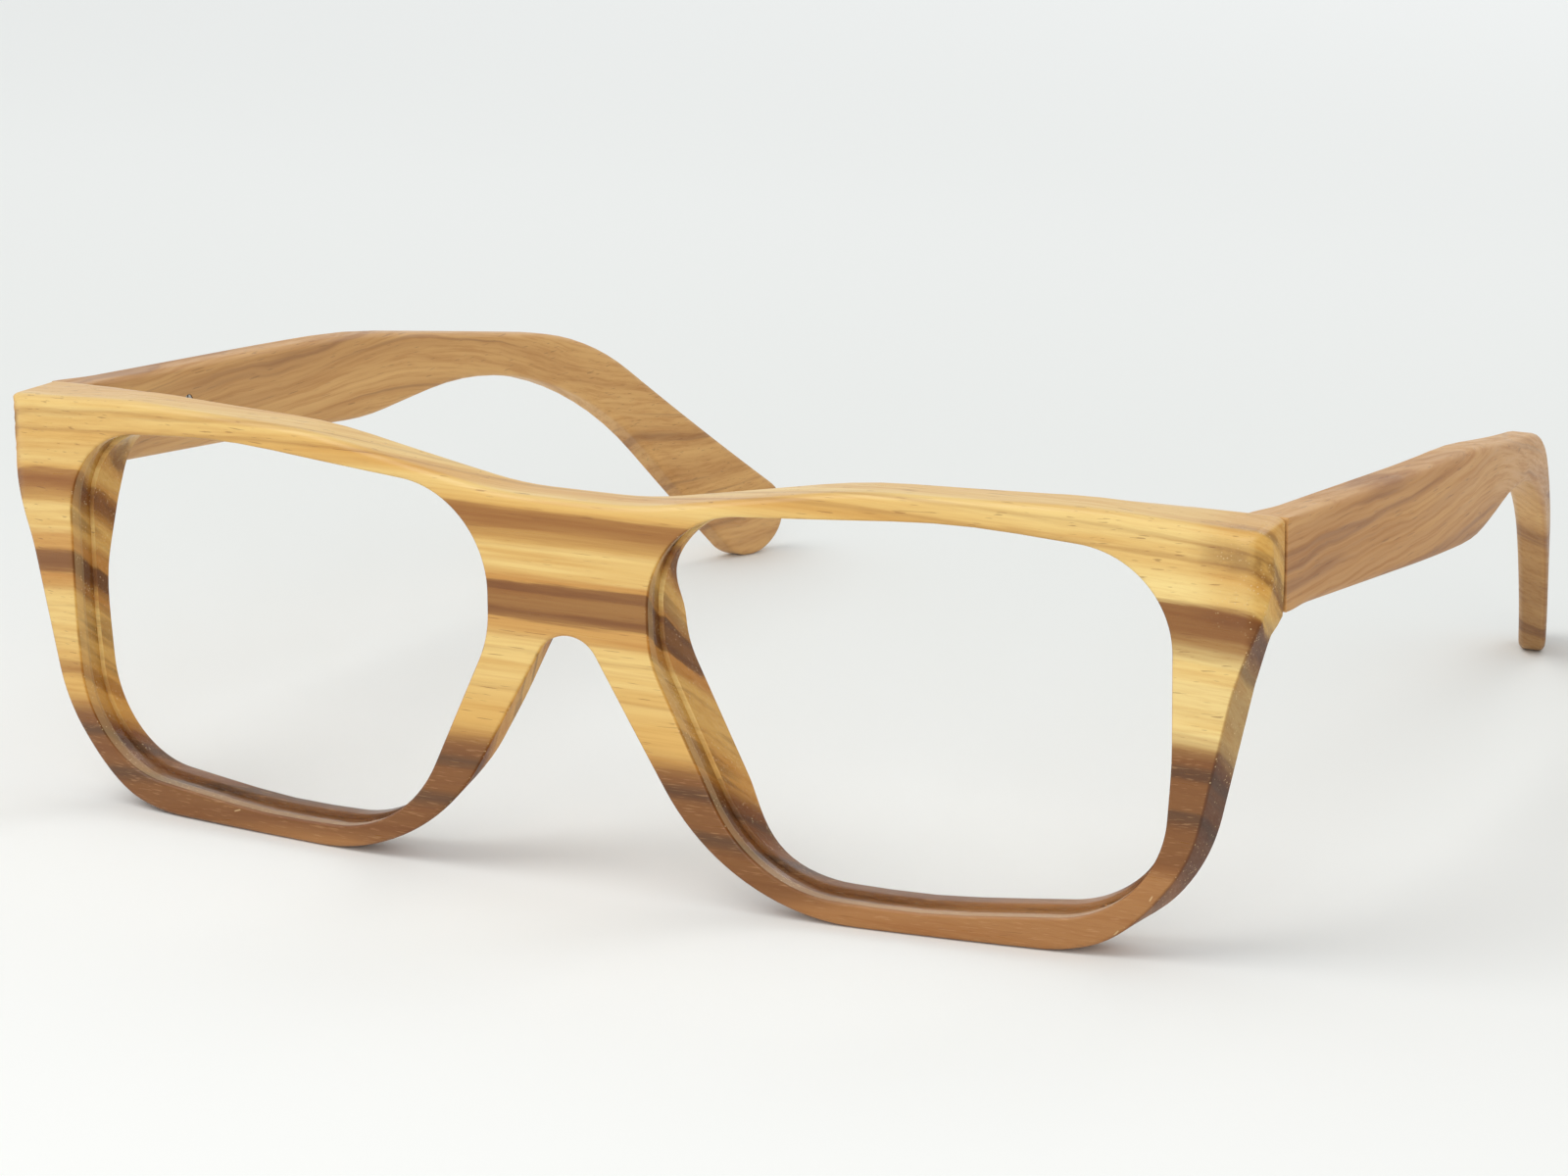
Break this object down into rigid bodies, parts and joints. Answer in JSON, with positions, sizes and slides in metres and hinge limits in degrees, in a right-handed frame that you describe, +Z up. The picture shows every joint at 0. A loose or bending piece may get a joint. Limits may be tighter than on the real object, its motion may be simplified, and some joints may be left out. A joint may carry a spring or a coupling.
{
  "type": "wooden spectacle frame",
  "caption": "Rectangular spectacle frame of striped wood with clear lenses and wooden temples that fold and flex outward on sprung hinges.",
  "frame": {"origin": "centre of the footprint on the table, under the rims and the temple tips", "axes": "+Z up from the table, the front faces -Y, the temples run towards +Y, +X is the wearer's left"},
  "size_m": [0.1388, 0.1374, 0.0431],
  "materials": {
    "striped_wood": "satin oiled wood with dark stripes",
    "temple_wood": "satin oiled wood with lengthwise grain",
    "clear_lens": "clear, coated against reflections",
    "hinge_metal": "satin"
  },
  "bodies": {
    "front": {"front": "striped_wood", "lens_l": "clear_lens", "lens_r": "clear_lens", "hinge_leaf_l": "hinge_metal", "hinge_leaf_r": "hinge_metal", "leaf_screws_l": "hinge_metal", "leaf_screws_r": "hinge_metal"},
    "pin_l": {"hinge_screw_l": "hinge_metal"},
    "slider_l": {"slider_l": "hinge_metal", "spring_stop_l": "hinge_metal"},
    "temple_l": {"temple_l": "temple_wood", "spring_case_l": "hinge_metal", "case_screws_l": "hinge_metal", "spring_l": "hinge_metal"},
    "pin_r": {"hinge_screw_r": "hinge_metal"},
    "slider_r": {"slider_r": "hinge_metal", "spring_stop_r": "hinge_metal"},
    "temple_r": {"temple_r": "temple_wood", "spring_case_r": "hinge_metal", "case_screws_r": "hinge_metal", "spring_r": "hinge_metal"}
  },
  "joints": [
    {"name": "fold_l", "type": "hinge", "parent": "front", "child": "pin_l", "pos_m": [-0.0642, -0.05338, 0.03635], "axis": [0, 0, -1], "range_deg": [0, 82]},
    {"name": "flex_l", "type": "hinge", "parent": "pin_l", "child": "slider_l", "pos_m": [-0.0642, -0.05338, 0.03635], "axis": [0, 0, 1], "range_deg": [0, 8], "stiffness_Nm_per_rad": 0.6, "springref_deg": -2.86},
    {"name": "slide_l", "type": "slide", "parent": "slider_l", "child": "temple_l", "axis": [0, 1, 0], "range_m": [0, 0.00065], "deforming": ["spring_l"]},
    {"name": "fold_r", "type": "hinge", "parent": "front", "child": "pin_r", "pos_m": [0.0642, -0.05338, 0.03635], "axis": [0, 0, 1], "range_deg": [0, 58]},
    {"name": "flex_r", "type": "hinge", "parent": "pin_r", "child": "slider_r", "pos_m": [0.0642, -0.05338, 0.03635], "axis": [0, 0, -1], "range_deg": [0, 8], "stiffness_Nm_per_rad": 0.6, "springref_deg": -2.86},
    {"name": "slide_r", "type": "slide", "parent": "slider_r", "child": "temple_r", "axis": [0, 1, 0], "range_m": [0, 0.00065], "deforming": ["spring_r"]}
  ],
  "couplings": [
    {"joint": "slide_l", "follows": "flex_l", "m_per_rad": 0.0045},
    {"joint": "slide_r", "follows": "flex_r", "m_per_rad": 0.0045}
  ]
}
